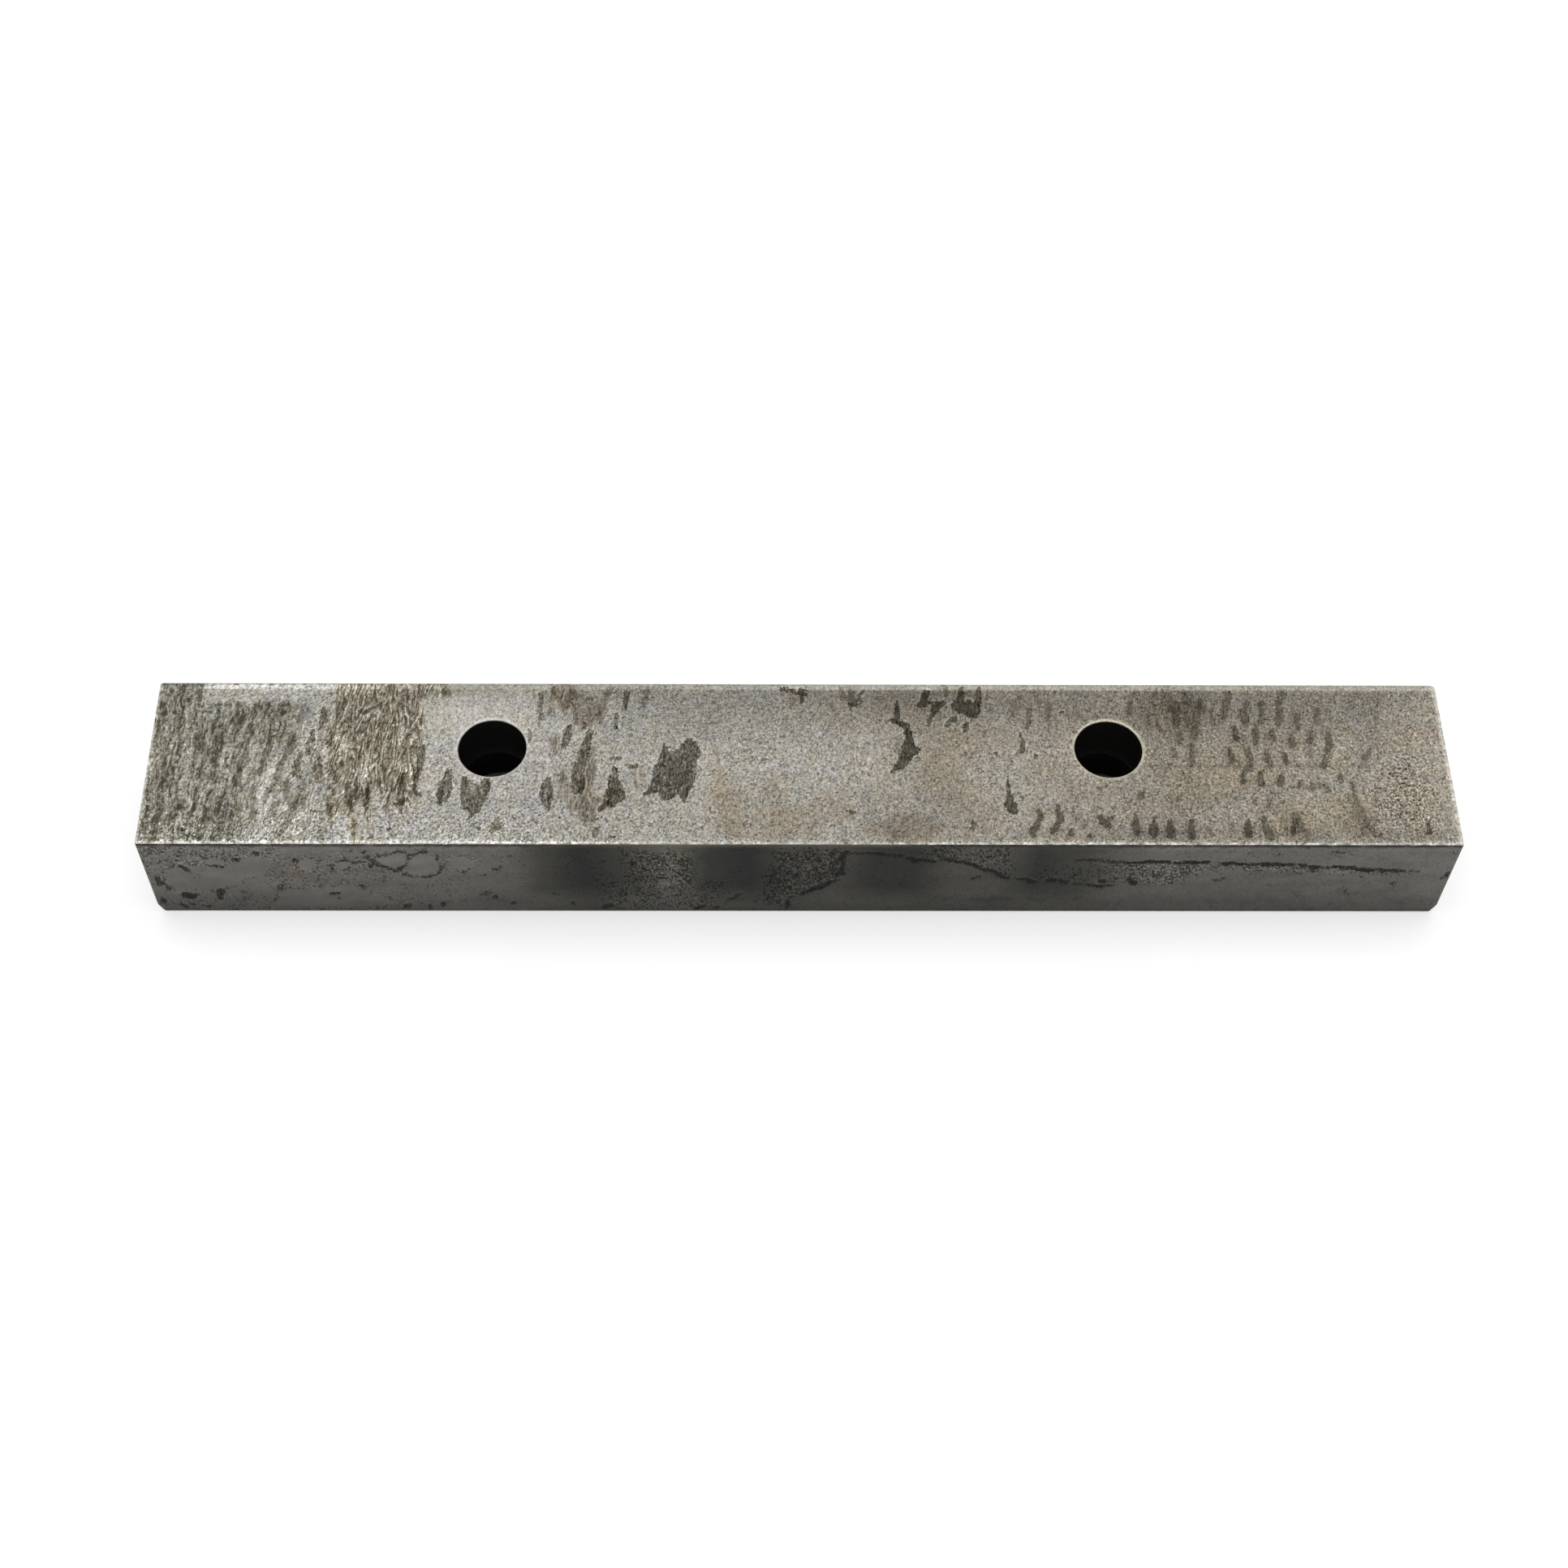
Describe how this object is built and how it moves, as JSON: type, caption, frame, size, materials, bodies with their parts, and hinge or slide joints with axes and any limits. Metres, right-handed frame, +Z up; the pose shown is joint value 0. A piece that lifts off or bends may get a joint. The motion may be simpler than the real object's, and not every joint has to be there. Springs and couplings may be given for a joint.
{
  "type": "machinable soft jaw",
  "caption": "Plain steel bar jaw that screws to a machine vice's jaw and is cut to the shape of the work it grips.",
  "frame": {"origin": "middle of the clamping face, which rests on the table", "axes": "+X along the jaw to its right end, +Y across it to the side that the screw holes are nearer to, +Z up from the clamping face to the mounting face"},
  "size_m": [0.127, 0.019, 0.0127],
  "materials": {
    "mild_steel": "dull sawn and ground bar stock, finely grained, with dark stains, flecks and small pits"
  },
  "bodies": {
    "root": {"soft_jaw": "mild_steel"}
  },
  "joints": []
}
